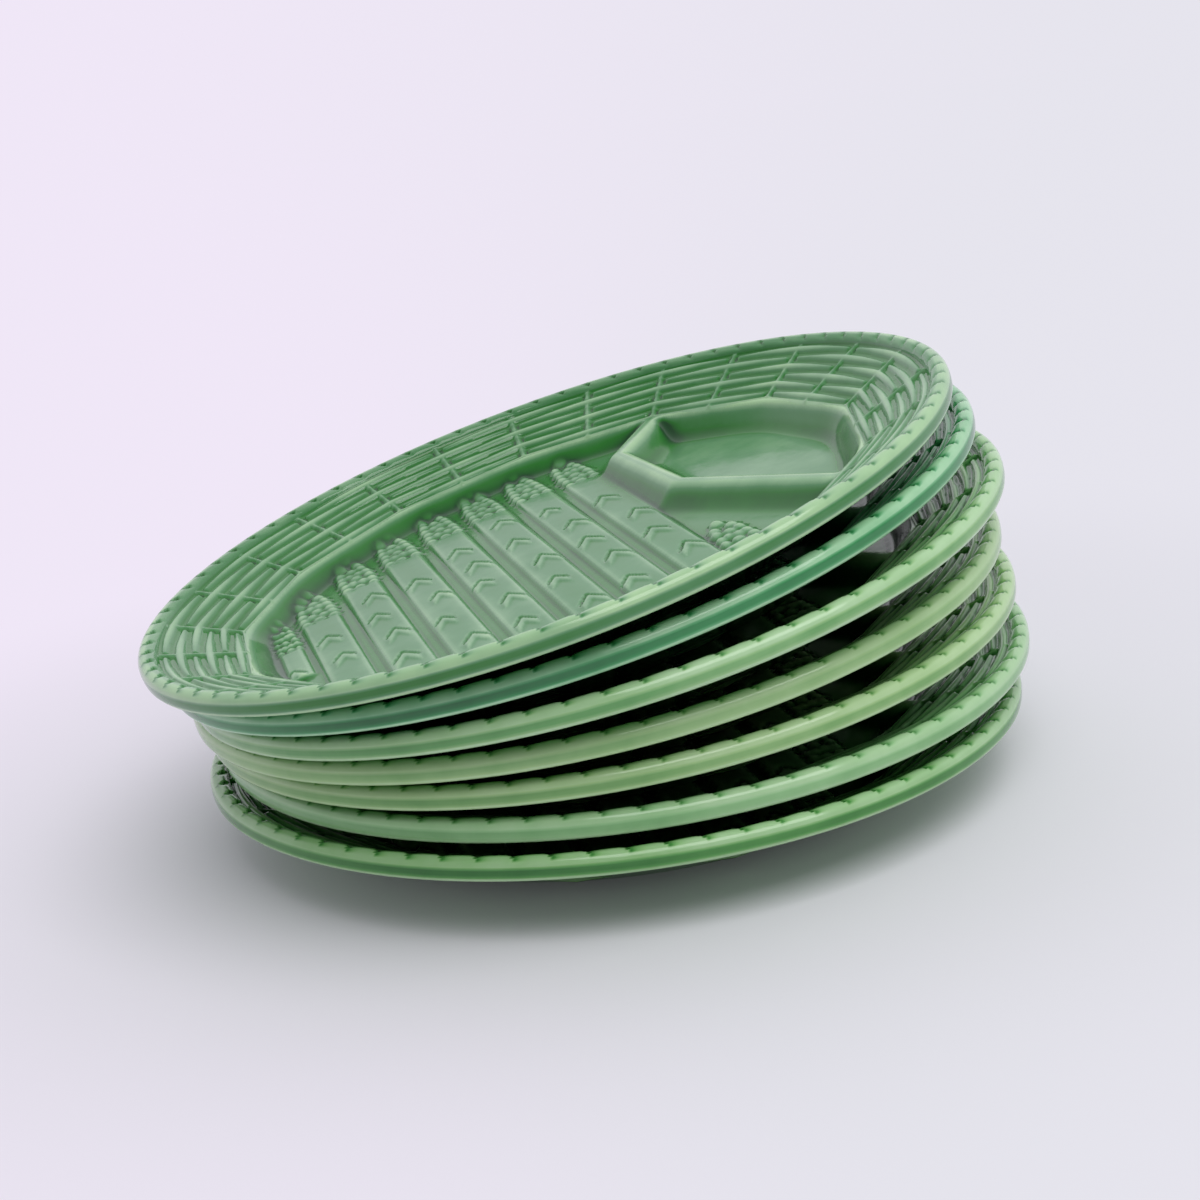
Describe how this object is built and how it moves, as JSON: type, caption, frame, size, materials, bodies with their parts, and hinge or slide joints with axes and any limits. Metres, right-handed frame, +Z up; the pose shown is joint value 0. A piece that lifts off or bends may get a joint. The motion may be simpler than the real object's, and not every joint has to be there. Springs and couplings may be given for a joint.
{
  "type": "asparagus plate",
  "caption": "Stack of round glazed pottery plates with a basket-weave rim, moulded asparagus spears and a sauce well, each lifting off the one below.",
  "frame": {"origin": "on the table, under the middle of the whole stack", "axes": "+X to the sauce wells' side, which is the raised side of the stack, +Y away from the picture's camera, +Z up"},
  "size_m": [0.2596, 0.2638, 0.122],
  "materials": {
    "bottom_plate_glaze": "glossy green glaze, darker where it pools",
    "second_plate_glaze": "glossy green glaze, darker where it pools",
    "third_plate_glaze": "glossy green glaze, darker where it pools",
    "fourth_plate_glaze": "glossy green glaze, darker where it pools",
    "fifth_plate_glaze": "glossy green glaze, darker where it pools",
    "sixth_plate_glaze": "glossy green glaze, darker where it pools",
    "top_plate_glaze": "glossy green glaze, darker where it pools"
  },
  "bodies": {
    "bottom_plate": {"bottom_plate": "bottom_plate_glaze"},
    "second_plate": {"second_plate": "second_plate_glaze"},
    "third_plate": {"third_plate": "third_plate_glaze"},
    "fourth_plate": {"fourth_plate": "fourth_plate_glaze"},
    "fifth_plate": {"fifth_plate": "fifth_plate_glaze"},
    "sixth_plate": {"sixth_plate": "sixth_plate_glaze"},
    "top_plate": {"top_plate": "top_plate_glaze"}
  },
  "joints": [
    {"name": "second_lift", "type": "slide", "parent": "bottom_plate", "child": "second_plate", "axis": [0, 0, 1], "range_m": [0, 0.1]},
    {"name": "third_lift", "type": "slide", "parent": "second_plate", "child": "third_plate", "axis": [0, 0, 1], "range_m": [0, 0.1]},
    {"name": "fourth_lift", "type": "slide", "parent": "third_plate", "child": "fourth_plate", "axis": [0, 0, 1], "range_m": [0, 0.1]},
    {"name": "fifth_lift", "type": "slide", "parent": "fourth_plate", "child": "fifth_plate", "axis": [0, 0, 1], "range_m": [0, 0.1]},
    {"name": "sixth_lift", "type": "slide", "parent": "fifth_plate", "child": "sixth_plate", "axis": [0, 0, 1], "range_m": [0, 0.1]},
    {"name": "top_lift", "type": "slide", "parent": "sixth_plate", "child": "top_plate", "axis": [0, 0, 1], "range_m": [0, 0.1]}
  ]
}
